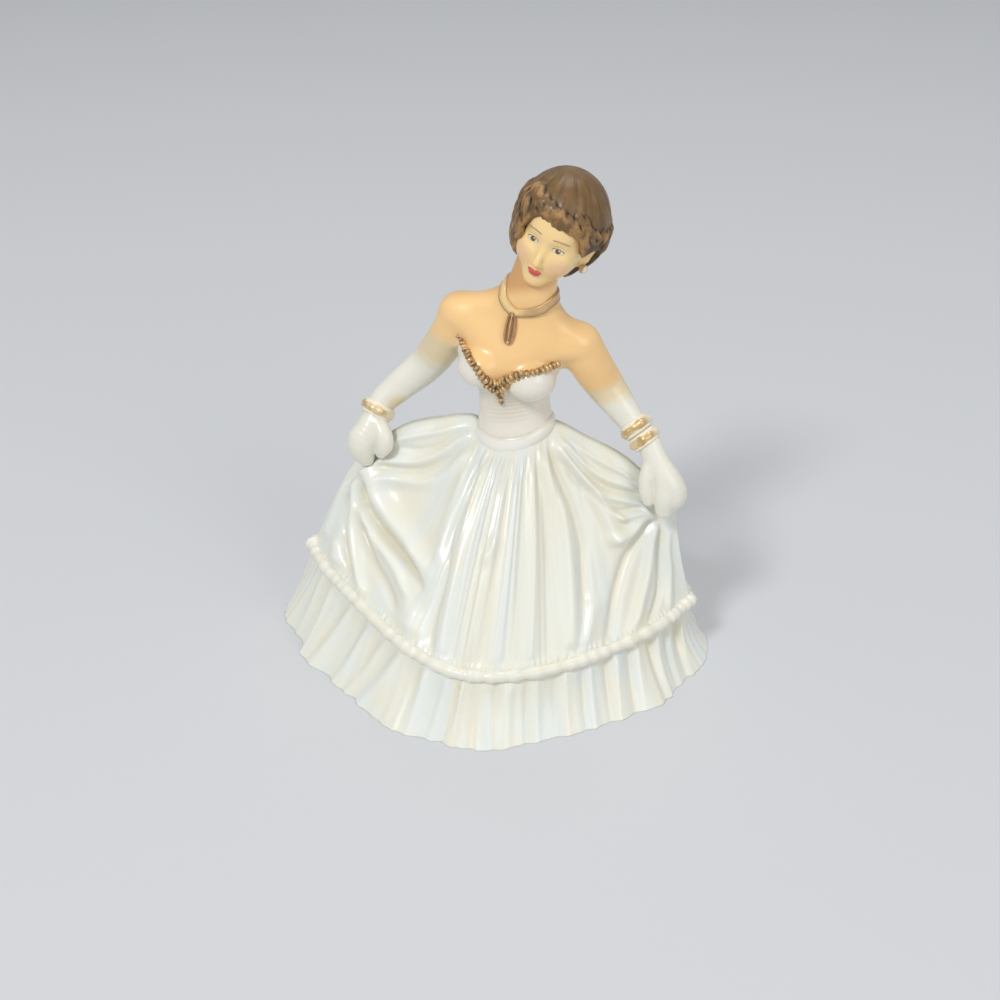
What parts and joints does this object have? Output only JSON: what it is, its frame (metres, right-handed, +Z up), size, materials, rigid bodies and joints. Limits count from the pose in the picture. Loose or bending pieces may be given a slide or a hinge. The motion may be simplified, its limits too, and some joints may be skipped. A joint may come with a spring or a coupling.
{
  "type": "wedding cake topper",
  "caption": "Standing moulded plastic lady who spreads a flared, flounced ball gown with her gloved hands; hollow underneath, it rests on the hem.",
  "frame": {"origin": "centre of the hem's outline on the surface that the figure stands on", "axes": "+Z up, -Y the way the figure faces, +X its left"},
  "size_m": [0.0993, 0.0872, 0.1106],
  "materials": {
    "pearl_gown": "pearl gloss",
    "pearl_bodice": "pearl gloss",
    "glove": "pearl gloss, faded to skin colour on the upper arm",
    "skin": "satin paint",
    "hair": "satin paint with dark grooves",
    "gold": "metallic paint, slightly worn"
  },
  "bodies": {
    "root": {"skirt_front": "pearl_gown", "skirt_back": "pearl_gown", "flounce_front": "pearl_gown", "flounce_back": "pearl_gown", "hem_piping": "pearl_gown", "waistband": "pearl_bodice", "bodice": "pearl_bodice", "torso": "skin", "head": "skin", "hair_cap": "hair", "arm_right": "glove", "arm_left": "glove", "hand_right": "glove", "hand_left": "glove", "neckline_trim": "gold", "necklace_band": "gold", "necklace_pendant": "gold", "bracelet_right": "gold", "bracelet_left_upper": "gold", "bracelet_left_lower": "gold", "earring_left": "gold"}
  },
  "joints": []
}
